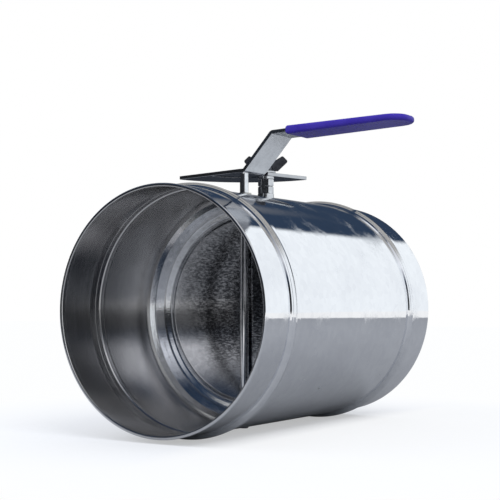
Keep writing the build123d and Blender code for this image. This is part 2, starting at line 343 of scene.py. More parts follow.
@dataclass(frozen=True)
class DarkMiddleZinc(ZincSheet):
    """Zinc-coated sheet darkened in specks around a point near its middle; its places are in metres."""

    # Colour that the middle is darkened to, in specks
    worn: tuple = rgb(0.10, 0.105, 0.115)
    centre: tuple = (0.0, 0.104, 0.012)
    reach: tuple = (0.038, 0.066)
    tear: float = 45.0
    ragged: float = 0.05
    speck: tuple = (420.0, 900.0, 1100.0)
    speck_span: tuple = (0.42, 0.62)
    bare_share: float = 0.45

    def tint(self, tree: Tree, place: Socket, colour: Socket) -> Socket:
        """Darkens the middle of the sheet in specks.

        Args:
            tree: Tree to build in.
            place: Object coordinates.
            colour: Colour of the zinc before it is darkened.

        Returns:
            The darkened colour.
        """
        edge = tree.math("SUBTRACT", tree.noise(place, self.tear, 8.0, 0.7), 0.5)
        away = tree.math("ADD", tree.distance(place, self.centre), tree.times(edge, self.ragged))
        specks = tree.noise(tree.stretch(place, self.speck), 1.0, 3.0)
        share = tree.times(tree.ramp(away, *self.reach, 1.0, 0.0),
                          tree.ramp(specks, *self.speck_span, 1.0, self.bare_share))
        return tree.mix(share, colour, self.worn)


@dataclass(frozen=True)
class BrightMetal(Finish):
    """Drawn, plated or cast metal with a fine grain and a few handling marks.

    It is sized as in ZincSheet. Above the height satin_from, in metres, the polish is the satin one.
    """

    colour: tuple = rgb(0.78, 0.79, 0.81)
    shadow: tuple = rgb(0.55, 0.56, 0.58)
    grain: tuple = (900.0, 900.0, 60.0)
    grain_span: tuple = (0.3, 0.7)
    mark: float = 160.0
    mark_span: tuple = (0.42, 0.72)
    polish: tuple = (0.12, 0.26)
    relief: float = 0.04
    relief_depth: float = 0.0003
    satin_from: float | None = None
    satin_fade: float = 0.002
    satin: tuple = (0.20, 0.26)

    def shade(self, tree: Tree) -> Socket:
        """Builds the metal's nodes from object coordinates.

        Args:
            tree: Tree to build in.

        Returns:
            The shader's output.
        """
        place = tree.add("ShaderNodeTexCoord").outputs["Object"]
        lines = tree.noise(tree.stretch(place, self.grain), 1.0, 4.0)
        marks = tree.noise(place, self.mark, 5.0)
        colour = tree.mix(tree.ramp(marks, *self.mark_span), self.colour, self.shadow)
        rough = tree.ramp(lines, *self.grain_span, *self.polish)
        if self.satin_from:
            level = tree.add("ShaderNodeSeparateXYZ", {0: place}).outputs["Z"]
            above = tree.ramp(level, self.satin_from, self.satin_from + self.satin_fade)
            rough = tree.blend(above, rough, tree.ramp(lines, *self.grain_span, *self.satin))
        normal = tree.bump(lines, self.relief, self.relief_depth)
        return tree.metal(colour, rough, normal)


@dataclass(frozen=True)
class DippedVinyl(Finish):
    """Soft satin vinyl, dipped over the handle, with a faint uneven skin, sized as in ZincSheet."""

    colour: tuple = rgb(0.048, 0.031, 0.370)
    pale: tuple = rgb(0.060, 0.042, 0.410)
    pale_span: tuple = (0.35, 0.70)
    polish: tuple = (0.24, 0.34)
    polish_span: tuple = (0.3, 0.7)
    skin: float = 90.0
    wave: float = 0.03
    wave_depth: float = 0.002
    pore: float = 900.0
    relief: float = 0.01
    relief_depth: float = 0.0003

    def shade(self, tree: Tree) -> Socket:
        """Builds the vinyl's nodes from object coordinates.

        Args:
            tree: Tree to build in.

        Returns:
            The shader's output.
        """
        place = tree.add("ShaderNodeTexCoord").outputs["Object"]
        skin = tree.noise(place, self.skin, 3.0)
        pores = tree.noise(place, self.pore, 2.0)
        colour = tree.mix(tree.ramp(skin, *self.pale_span), self.colour, self.pale)
        rough = tree.ramp(skin, *self.polish_span, *self.polish)
        soft = tree.bump(skin, self.wave, self.wave_depth)
        normal = tree.bump(pores, self.relief, self.relief_depth, soft)
        shader = tree.add("ShaderNodeBsdfPrincipled", {
            "Base Color": colour, "Roughness": rough, "Normal": normal, "IOR": 1.4,
            "Specular IOR Level": 0.08, "Coat Weight": 0.02, "Coat Roughness": 0.10})
        return shader.outputs[0]


class Dress(Enum):
    """Finishes of this damper."""

    CASING = ZincSheet("casing_zinc", bore_polish=(0.17, 0.25))
    BLADE = DarkMiddleZinc("blade_zinc", light=rgb(0.84, 0.85, 0.87), dark=rgb(0.56, 0.57, 0.59), spangle=300.0,
                     spangle_share=0.35, streak=(220.0, 700.0, 900.0), polish=(0.06, 0.13), haze=0.06,
                     relief=0.10)
    # The handle's zinc colour is set darker than the casing's: painted shade for the sector's shaded underside
    HANDLE = BrightMetal("handle_zinc_painted_shade", colour=rgb(0.50, 0.51, 0.53), shadow=rgb(0.44, 0.45, 0.47),
                         polish=(0.04, 0.09), grain=(60.0, 900.0, 900.0), relief=0.01, satin_from=0.0985)
    SPINDLE = BrightMetal("drawn_bar", polish=(0.06, 0.14))
    FASTENER = BrightMetal("plated_fastener", colour=rgb(0.66, 0.67, 0.69), shadow=rgb(0.42, 0.43, 0.45),
                           polish=(0.06, 0.18), grain=(500.0, 500.0, 500.0))
    WING = BrightMetal("cast_wing", colour=rgb(0.12, 0.125, 0.14), shadow=rgb(0.05, 0.052, 0.06),
                       grain=(260.0, 260.0, 260.0), polish=(0.28, 0.45), relief=0.15)
    SPRING = BrightMetal("spring_steel", colour=rgb(0.16, 0.16, 0.17), shadow=rgb(0.08, 0.08, 0.085))
    BEARING = BrightMetal("bearing_metal", colour=rgb(0.46, 0.45, 0.43), shadow=rgb(0.30, 0.29, 0.28),
                          grain=(400.0, 400.0, 400.0), polish=(0.20, 0.35))
    GRIP = DippedVinyl("grip_vinyl")


# ---- Turned pieces ----


def turning_tree() -> bpy.types.GeometryNodeTree:
    """Builds the tree that turns an outline about an axis, with flats or a thread where asked.

    The input mesh is a row of points, each with its radius in X and its height in Y.

    Returns:
        The Geometry Nodes tree, shared by all turned pieces.
    """
    found = bpy.data.node_groups.get("turned_piece")
    if found:
        return found
    group = bpy.data.node_groups.new("turned_piece", "GeometryNodeTree")
    inputs = {"Geometry": ["Outline"], "Int": ["Segments"],
              "Float": ["Start Angle", "Sweep Angle", "Flat Distance", "Flat Turn",
                        "Thread Pitch", "Thread Depth", "Thread From", "Thread To"],
              "Vector": ["Place", "Lean"], "Material": ["Finish"]}
    for kind, names in inputs.items():
        for name in names:
            group.interface.new_socket(name, in_out="INPUT", socket_type="NodeSocket" + kind)
    group.interface.new_socket("Geometry", in_out="OUTPUT", socket_type="NodeSocketGeometry")
    tree = Tree(group)
    given = tree.add("NodeGroupInput").outputs

    # A grid with a row for each point of the outline and a column for each step of the turn
    sizes = tree.add("GeometryNodeAttributeDomainSize", {"Geometry": given["Outline"]}).outputs
    rows = sizes["Point Count"]
    columns = tree.math("ADD", given["Segments"], 1.0)
    grid = tree.add("GeometryNodeMeshGrid", {"Size X": 1.0, "Size Y": 1.0, "Vertices X": columns,
                                             "Vertices Y": rows}).outputs["Mesh"]
    index = tree.add("GeometryNodeInputIndex").outputs[0]
    past_whole = tree.math("ADD", index, 0.25)
    column = tree.math("FLOOR", tree.math("DIVIDE", past_whole, rows))
    row = tree.math("SUBTRACT", index, tree.times(column, rows))
    sample = tree.add("GeometryNodeSampleIndex", {
        "Geometry": given["Outline"], "Value": tree.add("GeometryNodeInputPosition").outputs[0],
        "Index": row}, data_type="FLOAT_VECTOR").outputs["Value"]
    split = tree.add("ShaderNodeSeparateXYZ", {0: sample}).outputs
    turn = tree.math("DIVIDE", column, given["Segments"])
    angle = tree.math("ADD", given["Start Angle"], tree.times(turn, given["Sweep Angle"]))

    # The radius, cut back to the nearest flat of a hexagon and, away from the axis, by the thread's helix
    sixth, on_axis = math.pi / 3, 1e-5
    past_corner = tree.math("WRAP", tree.math("SUBTRACT", angle, given["Flat Turn"]), sixth, 0.0)
    flat_angle = tree.math("SUBTRACT", past_corner, sixth / 2)
    flat_radius = tree.math("DIVIDE", given["Flat Distance"], tree.math("COSINE", flat_angle))
    radius = tree.math("MINIMUM", split["X"], flat_radius)
    lead = tree.math("SUBTRACT", tree.math("DIVIDE", split["Y"], given["Thread Pitch"]),
                     tree.math("DIVIDE", angle, 2 * math.pi))
    wave = tree.times(tree.math("PINGPONG", lead, 0.5), 2.0)
    inside = tree.times(tree.math("GREATER_THAN", split["Y"], given["Thread From"]),
                        tree.math("LESS_THAN", split["Y"], given["Thread To"]))
    outer = tree.math("GREATER_THAN", split["X"], on_axis)
    cut = tree.times(tree.times(wave, given["Thread Depth"]), tree.times(inside, outer))
    radius = tree.math("SUBTRACT", radius, cut)

    # The grid, moved onto the turned surface, joined, placed and dressed
    east, north = (tree.times(radius, tree.math(function, angle)) for function in ("COSINE", "SINE"))
    point = tree.add("ShaderNodeCombineXYZ", {0: east, 1: north, 2: split["Y"]}).outputs[0]
    shaped = tree.add("GeometryNodeSetPosition", {"Geometry": grid, "Position": point}).outputs[0]
    closed = tree.add("GeometryNodeMergeByDistance", {"Geometry": shaped, "Distance": WELD}).outputs[0]
    placed = tree.add("GeometryNodeTransform", {"Geometry": closed, "Translation": given["Place"],
                                                "Rotation": given["Lean"]}).outputs[0]
    real = tree.add("GeometryNodeRealizeInstances", {"Geometry": placed}).outputs[0]
    dressed = tree.add("GeometryNodeSetMaterial", {"Geometry": real, "Material": given["Finish"]})
    tree.add("NodeGroupOutput", {"Geometry": dressed.outputs[0]})
    return group


def link(thing: Piece) -> None:
    """Puts an object into the scene."""
    bpy.context.scene.collection.objects.link(thing)


def evaluated_mesh(piece: Piece) -> bpy.types.Mesh:
    """Returns the mesh that a piece's modifiers make."""
    bpy.context.view_layer.update()
    return bpy.data.meshes.new_from_object(piece.evaluated_get(bpy.context.evaluated_depsgraph_get()))


def apply_modifiers(piece: Piece) -> None:
    """Puts what a piece's modifiers make in place of its mesh.

    Args:
        piece: Mesh piece in the scene.
    """
    result = evaluated_mesh(piece)
    piece.modifiers.clear()
    piece.data = result


def run_tree(carrier: Piece, group: bpy.types.GeometryNodeTree, values: dict[str, object],
             name: str) -> Piece:
    """Runs a Geometry Nodes tree on an object and keeps its result as a plain mesh.

    Args:
        carrier: Object that carries the tree's input geometry; it is removed.
        group: Tree to run.
        values: Input name to value.
        name: Name of the finished piece.

    Returns:
        The finished piece, at the origin.
    """
    modifier = carrier.modifiers.new("shape", "NODES")
    modifier.node_group = group
    for item in group.interface.items_tree:
        if item.in_out == "INPUT" and item.name in values:
            modifier[item.identifier] = values[item.name]
    link(carrier)
    carrier.update_tag()
    mesh = evaluated_mesh(carrier)
    bpy.data.objects.remove(carrier)
    piece = bpy.data.objects.new(name, mesh)
    link(piece)
    return piece


def mesh_piece(name: str, points: Sequence[Sequence[float]], faces: Sequence[Sequence[int]] = (),
               edges: Sequence[tuple[int, int]] = ()) -> Piece:
    """Makes an unlinked object from plain mesh data.

    Args:
        name: Name of the object.
        points: Vertex positions in metres.
        faces: Vertex numbers of each face.
        edges: Vertex numbers of each loose edge.

    Returns:
        The object.
    """
    mesh = bpy.data.meshes.new(name)
    mesh.from_pydata(points, edges, faces)
    return bpy.data.objects.new(name, mesh)


def recalculate(piece: Piece, crease: float = 32.0) -> Piece:
    """Points a piece's faces outwards and shades it smooth up to a crease angle.

    Args:
        piece: Mesh piece.
        crease: Edges sharper than this, in degrees, stay sharp.

    Returns:
        The same piece.
    """
    work = bmesh.new()
    work.from_mesh(piece.data)
    bmesh.ops.remove_doubles(work, verts=work.verts, dist=WELD)
    bmesh.ops.dissolve_degenerate(work, edges=work.edges, dist=SLIVER)
    bmesh.ops.recalc_face_normals(work, faces=work.faces)
    work.to_mesh(piece.data)
    work.free()
    piece.data.shade_smooth()
    piece.data.set_sharp_from_angle(angle=math.radians(crease))
    return piece


def rounded(corners: Sequence[Corner], steps: int = 6) -> Outline:
    """Rounds the corners of a closed outline with arcs.

    Args:
        corners: Radius, height and rounding radius of each corner, in millimetres.
        steps: Pieces in each arc.

    Returns:
        Points of the rounded outline, in millimetres; it ends at its first point.
    """
    count = len(corners)
    points: Outline = []
    for i, (x, y, radius) in enumerate(corners):
        here = Vector((x, y))
        if radius <= 0:
            points.append((x, y))
            continue
        before = (Vector(corners[i - 1][:2]) - here).normalized()
        after = (Vector(corners[(i + 1) % count][:2]) - here).normalized()
        half = before.angle(after) / 2
        centre = here + (before + after).normalized() * (radius / math.sin(half))
        start = here + before * (radius / math.tan(half)) - centre
        sweep = start.angle_signed(here + after * (radius / math.tan(half)) - centre)
        for k in range(steps + 1):
            points.append(tuple(centre + Matrix.Rotation(-sweep * k / steps, 2) @ start))
    points.append(points[0])
    return points


@dataclass
class Turned:
    """A piece turned about an axis from an outline.

    Sizes are in millimetres, the place in metres, the crease in degrees and other angles in radians.
    Flats that lie outside the outline cut nothing.
    """

    name: str
    outline: Outline
    finish: Finish
    place: Sequence[float] = (0.0, 0.0, 0.0)
    axis: Axis = Axis.UPRIGHT
    segments: int = 96
    start: float = 0.0
    sweep: float = 2 * math.pi
    flats: float = 1000.0
    flat_turn: float = 0.0
    thread_pitch: float = 1.0
    thread_depth: float = 0.0
    thread_span: tuple[float, float] = (0.0, 0.0)
    crease: float = 32.0

    def build(self) -> Piece:
        """Turns the outline.

        Returns:
            The turned piece, at the origin.
        """
        points = [(r * MM, h * MM, 0.0) for r, h in self.outline]
        row = mesh_piece(self.name + "_outline", points, edges=[(i, i + 1) for i in range(len(points) - 1)])
        values = {
            "Segments": self.segments, "Start Angle": self.start, "Sweep Angle": self.sweep,
            "Flat Distance": self.flats * MM, "Flat Turn": self.flat_turn,
            "Thread Pitch": self.thread_pitch * MM, "Thread Depth": self.thread_depth * MM,
            "Thread From": self.thread_span[0] * MM, "Thread To": self.thread_span[1] * MM,
            "Place": tuple(self.place), "Lean": self.axis.value, "Finish": self.finish.material()}
        return recalculate(run_tree(row, turning_tree(), values, self.name), self.crease)


def settle(piece: Piece, body: Body, *nodes: str) -> None:
    """Evens a finished piece's shading and lets it ride on its body and stand for its CAD nodes.

    Normals are weighted by face area, so that a flat face looks flat beside its eased edges.

    Args:
        piece: Finished piece at the origin.
        body: Body that it moves with.
        nodes: CAD nodes that it replaces.
    """
    modifier = piece.modifiers.new("weight", "WEIGHTED_NORMAL")
    modifier.keep_sharp = True
    apply_modifiers(piece)
    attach(piece, body.value)
    if nodes:
        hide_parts(*nodes)
    log.info("%s: %d faces, rides on %s, stands for %s", piece.name, len(piece.data.polygons), body.value,
             ", ".join(nodes) or "nothing")


def dress_node(node: str, finish: Finish) -> None:
    """Gives a CAD node that stays in view its finish.

    Args:
        node: Name of the node.
        finish: Finish for all its material slots.
    """
    piece = frame["nodes"][node]
    for slot in piece.material_slots:
        slot.material = finish.material()
    log.info("%s: kept from the CAD model", node)


def refined_copy(node: str, finish: Finish, edge: float = 0.25) -> Piece:
    """Copies a CAD node, joins its triangles into faces and eases its edges.

    Args:
        node: Name of the node.
        finish: Finish of the copy.
        edge: Width of the eased edges in millimetres.

    Returns:
        The finished copy.
    """
    work = bmesh.new()
    work.from_mesh(frame["nodes"][node].data)
    bmesh.ops.remove_doubles(work, verts=work.verts, dist=CAD_WELD)
    bmesh.ops.dissolve_limit(work, angle_limit=FLAT_ANGLE, verts=work.verts, edges=work.edges)
    sharp = [e for e in work.edges if e.is_manifold and e.calc_face_angle(0.0) > EASE_ANGLE]
    bmesh.ops.bevel(work, geom=sharp, offset=edge * MM, segments=2, profile=0.5, affect="EDGES",
                    clamp_overlap=True)
    mesh = bpy.data.meshes.new(node + "_dressed")
    work.to_mesh(mesh)
    work.free()
    mesh.materials.append(finish.material())
    mesh.shade_smooth()
    mesh.set_sharp_from_angle(angle=SHARP_ANGLE)
    piece = bpy.data.objects.new(node + "_dressed", mesh)
    link(piece)
    return piece


# ---- Casing ----


@dataclass
class Casing:
    """Beaded sheet casing with hemmed rims, its seam and the two bearing bushes, in millimetres."""

    sheet: float = 0.8
    bead_centre: float = 32.5
    bead_width: float = 9.5
    bead_outside: tuple = ((0.0, 0.0, 0.1), (0.40, 0.55, 0.2), (1.0, 2.8, 0.6), (0.0, 12.4, 2.0))
    bead_inside: tuple = ((0.0, 0.8, 0.2), (1.0, 1.4, 0.3), (1.0, 8.9, 0.2), (0.52, 9.7, 0.2),
                          (0.42, 12.4, 0.2), (0.0, 13.2, 0.2))
    line_place: float = 44.5
    line_width: float = 1.2
    line_depth: float = 0.3
    line_round: float = 0.2
    hem_depth: float = 4.0
    hem_thickness: float = 2.4
    hem_round: float = 0.8
    hem_root: float = 0.15
    seam_width: float = 9.0
    seam_angle: float = 205.0
    seam_gap: float = 4.0
    seam_round: float = 0.3

    def __post_init__(self) -> None:
        """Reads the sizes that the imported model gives."""
        low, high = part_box("casing_shell")
        self.radius = named(frame["record"]["mounts"], "front_spigot")["dims"]["r_mm"]
        self.length = (high.y - low.y) / MM
        self.bead_height = high.z / MM - self.radius

    def beads(self, base: float, shape: Sequence[Corner]) -> list[Corner]:
        """Lays out the corners of both beads, each steep in front and falling gently behind.

        Args:
            base: Radius of the wall's surface.
            shape: Share of the bead's height, distance behind its front foot and rounding of each corner.

        Returns:
            Radius, height and rounding radius of each corner.
        """
        start = self.bead_centre - self.bead_width / 2
        return [(base + self.bead_height * rise, foot + along, turn)
                for foot in (start, self.length - 2 * self.bead_centre + start)
                for rise, along, turn in shape]

    def outline(self) -> Outline:
        """Draws the closed section of the wall, its beads and its folded rims.

        Returns:
            Points of the section.
        """
        inner = self.radius - self.sheet
        outer = self.beads(self.radius, self.bead_outside)
        back = self.beads(inner, self.bead_inside)
        for place in (self.line_place, self.length - self.line_place):
            back += [(inner, place - self.line_width / 2, 0.0),
                     (inner + self.line_depth, place, self.line_round),
                     (inner, place + self.line_width / 2, 0.0)]
        back.sort(key=lambda corner: -corner[1])
        fold = self.radius - self.hem_thickness
        front_rim = [(inner, self.hem_depth, self.hem_root), (fold, self.hem_depth, self.hem_round),
                     (fold, 0.0, self.hem_round), (self.radius, 0.0, self.hem_round)]
        rear_rim = [(r, self.length - y, turn) for r, y, turn in reversed(front_rim)]
        return rounded([*front_rim, *outer, *rear_rim, *back])

    def build(self) -> None:
        """Builds and settles the casing's own pieces."""
        shell = Turned("casing_skin", self.outline(), Dress.CASING.value, axis=Axis.ALONG_DUCT,
                       segments=DUCT_SEGMENTS)
        settle(shell.build(), Body.CASING, "casing_shell")
        start = self.bead_centre + self.bead_width / 2 + self.seam_gap
        low, high = self.radius - self.sheet / 2, self.radius + self.sheet
        strip = rounded([(low, start, 0.0), (high, start, self.seam_round),
                         (high, self.length - start, self.seam_round), (low, self.length - start, 0.0)],
                        steps=3)
        sweep = self.seam_width / self.radius
        seam = Turned("casing_seam", strip, Dress.CASING.value, axis=Axis.ALONG_DUCT, segments=10,
                      start=-math.radians(self.seam_angle) - sweep, sweep=sweep)
        settle(close_holes(seam.build()), Body.CASING)
        for node in ("upper_bush", "lower_bush"):
            dress_node(node, Dress.BEARING.value)


def close_holes(piece: Piece) -> Piece:
    """Caps the open ends of a part-turned piece.

    Args:
        piece: Mesh piece.

    Returns:
        The same piece.
    """
    work = bmesh.new()
    work.from_mesh(piece.data)
    bmesh.ops.holes_fill(work, edges=[e for e in work.edges if e.is_boundary], sides=0)
    bmesh.ops.recalc_face_normals(work, faces=work.faces)
    work.to_mesh(piece.data)
    work.free()
    return piece


# ---- Blade and spindle ----


@dataclass
class Blade:
    """Pressed round pan with a ring bead and a lip turned forward and flared, in millimetres."""

    sheet: float = 1.0
    flare_width: float = 2.6
    flare_depth: float = 2.8
    flare_edge: float = 0.4
    bead_margin: float = 11.7
    bead_width: float = 8.5
    bead_height: float = 2.2
    bead_flank: float = 3.6
    bead_round: float = 3.8
    lip_root: float = 1.2
    lip_proud: float = 2.0
    lip_round: float = 0.1
    knee_rise: float = 0.3
    notch: float = 14.0
    notch_depth: float = 5.2
    cutter_depth: float = 50.0

    def __post_init__(self) -> None:
        """Reads the disc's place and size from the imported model."""
        low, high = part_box("blade")
        self.radius = high.x / MM
        self.front = high.y / MM - self.sheet - self.bead_height
        self.lip_depth = self.front - low.y / MM

    def outline(self) -> Outline:
        """Draws the closed section of the disc from its middle to its lip and back.

        Returns:
            Points of the section.
        """
        bead, half, top = self.radius - self.bead_margin, self.bead_width / 2, self.bead_height
        edge, lip = self.radius - self.flare_edge, self.lip_depth + self.lip_proud
        foot, knee = edge - self.flare_width, self.flare_depth - lip
        crest, back = half - self.bead_flank, foot + self.sheet
        bead_front = [(bead - half, 0.0), (bead - crest, top), (bead + crest, top), (bead + half, 0.0)]
        front = [(0.0, 0.0, 0.0), *[(r, y, self.bead_round) for r, y in bead_front],
                 *[(r, y, self.lip_round) for r, y in ((foot, 0.0), (foot, knee), (edge, -lip))]]
        rear = [(0.0, self.sheet, 0.0), *[(r, y + self.sheet, self.bead_round) for r, y in bead_front],
                (back, self.sheet, self.lip_root), (back, knee + self.knee_rise, self.knee_rise),
                (self.radius, self.flare_edge - lip, self.lip_round)]
        return rounded([(r, y + self.front, turn) for r, y, turn in [*front, *reversed(rear)]])

    def build(self) -> None:
        """Builds and settles the blade and dresses what holds it."""
        pan = Turned("blade_pan", self.outline(), Dress.BLADE.value, axis=Axis.ALONG_DUCT,
                     segments=DUCT_SEGMENTS).build()
        for side in (-1, 1):
            centre = (0.0, self.front * MM, side * self.radius * MM)
            cut_box(pan, centre, (self.notch * MM, self.cutter_depth * MM, 2 * self.notch_depth * MM))
        settle(recalculate(pan), Body.ROTOR, "blade")
        for node in ("blade_screws", "blade_washers"):
            dress_node(node, Dress.FASTENER.value)
        for node in ("upper_clip", "lower_clip", "upper_thrust_washer", "lower_thrust_washer"):
            dress_node(node, Dress.SPRING.value)
        dress_node("spindle", Dress.SPINDLE.value)


def cut_box(piece: Piece, centre: Sequence[float], size: Sequence[float]) -> None:
    """Cuts a box out of a piece.

    Args:
        piece: Closed mesh piece.
        centre: Middle of the box, in metres.
        size: Its lengths along X, Y and Z, in metres.
    """
    work = bmesh.new()
    matrix = Matrix.Translation(centre) @ Matrix.Diagonal((*size, 1.0))
    bmesh.ops.create_cube(work, size=1.0, matrix=matrix)
    mesh = bpy.data.meshes.new("cutter")
    work.to_mesh(mesh)
    work.free()
    cutter = bpy.data.objects.new("cutter", mesh)
    link(cutter)
    modifier = piece.modifiers.new("cut", "BOOLEAN")
    modifier.object = cutter
    modifier.solver = "EXACT"
    apply_modifiers(piece)
    bpy.data.objects.remove(cutter)


# ---- Handle ----


@dataclass
class Handle:
    """Slotted sector with its bent lever, and the dipped grip, in millimetres."""

    heel: tuple = (119.1, 124.9)
    tip: tuple = (122.4, 126.7)
    heel_corner: float = 2.0
    tip_corner: float = 12.0
    edge: float = 1.9
    edge_steps: int = 4
    corner_steps: int = 10

    def plan(self, inset: float) -> Outline:
        """Draws the grip's plan: straight sides, small corners at the heel and large ones at the tip.

        Args:
            inset: How far the plan is drawn in.

        Returns:
            Points of the plan, without a last one at the first.
        """
        low, high = (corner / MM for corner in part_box("handle_grip"))
        left, right, near, far = low.x + inset, high.x - inset, low.y + inset, high.y - inset
        heel, tip = self.heel_corner - inset, self.tip_corner - inset
        corners = [(left, near, heel), (right, near, tip), (right, far, tip), (left, far, heel)]
        return rounded(corners, self.corner_steps)[:-1]

    def grip(self) -> Piece:
        """Builds the grip as a stack of plans that rise and narrow with its eased edges.

        Returns:
            The finished grip.
        """
        low, high = (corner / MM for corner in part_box("handle_grip"))
        quarter = [math.radians(90 * k / self.edge_steps) for k in range(self.edge_steps + 1)]
        layers = [(self.edge * (1 - math.sin(t)), 0, self.edge * (1 - math.cos(t))) for t in quarter]
        layers += [(inset, 1, -rise) for inset, _, rise in reversed(layers)]
        points = []
        for inset, side, rise in layers:
            for x, y in self.plan(inset):
                share = (x - low.x) / (high.x - low.x)
                level = self.heel[side] + (self.tip[side] - self.heel[side]) * share + rise
                points.append((x * MM, y * MM, level * MM))
        count = len(points) // len(layers)
        faces = [tuple(range(count))[::-1], tuple(range(len(points) - count, len(points)))]
        for row in range(0, len(points) - count, count):
            above = row + count
            faces += [(row + k, row + (k + 1) % count, above + (k + 1) % count, above + k)
                      for k in range(count)]
        grip = mesh_piece("handle_grip_dressed", points, faces)
        link(grip)
        grip.data.materials.append(Dress.GRIP.value.material())
        grip.visible_glossy = False
        return recalculate(grip, crease=50.0)

    def build(self) -> None:
        """Builds and settles the sector and the grip."""
        settle(refined_copy("handle_sector", Dress.HANDLE.value), Body.ROTOR, "handle_sector")
        settle(self.grip(), Body.ROTOR, "handle_grip")


# ---- Clamp ----


@dataclass
class Clamp:
    """Threaded stud with its nuts and washers, and the wing nut, in millimetres."""

    stud: float = 3.0
    pitch: float = 1.0
    thread: float = 0.55
    flats: float = 5.0
    corner: float = 5.77
    corner_bearing: float = 22.0
    bore_play: float = 0.02
    chamfer_slope: float = 0.58
    chamfer_inside: float = 0.25
    chamfer_steps: int = 8
    edge: float = 0.3
    flange: float = 6.0
    flange_height: float = 1.5
    stud_chamfer: float = 0.6
    thread_start: float = 0.5
    thread_end: float = 0.05
    rows_per_turn: int = 12

    def __post_init__(self) -> None:
        """Reads the stud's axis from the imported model."""
        self.axis = Vector(named(frame["joints"], "wing_nut_turn")["pos_m"])
        self.axis.z = 0.0

    def nut(self, node: str) -> None:
        """Builds one hexagonal nut with chamfered corners.

        Args:
            node: CAD node that it stands for.
        """
        low, high = (corner.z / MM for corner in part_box(node))
        drop = (self.corner - self.flats) * self.chamfer_slope
        start, reach = self.flats - self.chamfer_inside, self.corner - self.flats + self.chamfer_inside
        shares = [k / self.chamfer_steps for k in range(self.chamfer_steps + 1)]
        cone = [(start + reach * share, drop * share) for share in shares]
        bore = self.stud + self.bore_play
        mouth = bore + self.edge
        points = [(mouth, low), *[(r, low + h) for r, h in cone],
                  *[(r, high - h) for r, h in reversed(cone)], (mouth, high),
                  (bore, high - self.edge), (bore, low + self.edge), (mouth, low)]
        nut = Turned(node + "_dressed", points, Dress.FASTENER.value, self.axis, flats=self.flats,
                     flat_turn=math.radians(self.corner_bearing), segments=120, crease=28.0)
        settle(nut.build(), Body.CASING, node)

    def stud_piece(self) -> None:
        """Builds the threaded stud with its flange under the crown."""
        low, high = (corner.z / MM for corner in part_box("clamp_stud"))
        seat = low + self.flange_height
        rows = int((high - seat) / self.pitch * self.rows_per_turn)
        shank = [(self.stud, seat + (high - seat - self.stud_chamfer) * i / rows) for i in range(rows + 1)]
        points = [(0.0, low), (self.flange - self.edge, low), (self.flange, low + self.edge),
                  (self.flange, seat), *shank, (self.stud - self.stud_chamfer, high), (0.0, high)]
        span = (seat + self.thread_start, high - self.thread_end)
        stud = Turned("clamp_stud_dressed", points, Dress.FASTENER.value, self.axis, segments=48,
                      thread_pitch=self.pitch, thread_depth=self.thread, thread_span=span, crease=50.0)
        settle(stud.build(), Body.CASING, "clamp_stud")

    def build(self) -> None:
        """Builds and settles every piece on the stud."""
        self.stud_piece()
        for node in ("base_nut", "support_nut"):
            self.nut(node)
        for node, body in (("stud_saddle", Body.CASING), ("slide_washer", Body.CASING),
                           ("clamp_washer", Body.CLAMP)):
            settle(refined_copy(node, Dress.FASTENER.value, edge=0.12), body, node)
        settle(refined_copy("wing_nut", Dress.WING.value, edge=0.15), Body.CLAMP, "wing_nut")


# ---- Studio ----


